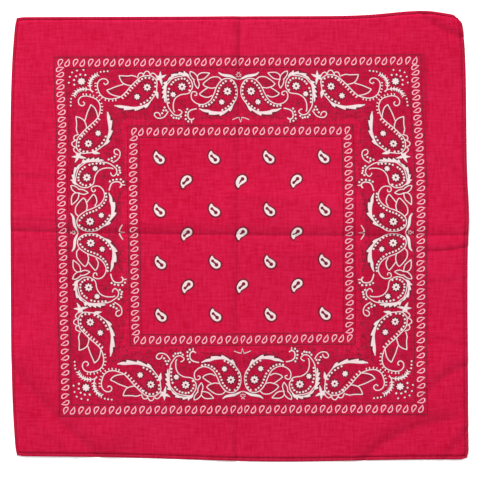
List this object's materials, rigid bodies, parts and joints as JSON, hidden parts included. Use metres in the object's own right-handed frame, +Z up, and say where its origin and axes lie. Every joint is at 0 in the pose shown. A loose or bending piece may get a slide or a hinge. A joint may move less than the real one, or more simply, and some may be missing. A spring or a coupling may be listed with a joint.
{
  "type": "bandana",
  "caption": "Square printed cotton bandana lying spread out flat, with narrow stitched hems and pressed fold creases.",
  "frame": {"origin": "under the middle of the cloth, on the surface that it lies on", "axes": "+X to the right of the cloth as it is looked down on, +Y towards its top edge, +Z up out of the printed face"},
  "size_m": [0.5503, 0.541, 0.0036],
  "materials": {
    "cloth": "matt plain-weave cotton, dyed crimson, with a slight slub",
    "hem": "matt plain-weave cotton, turned twice and stitched"
  },
  "bodies": {
    "root": {"panel": "cloth", "hem_top": "hem", "hem_bottom": "hem", "hem_left": "hem", "hem_right": "hem"}
  },
  "joints": []
}
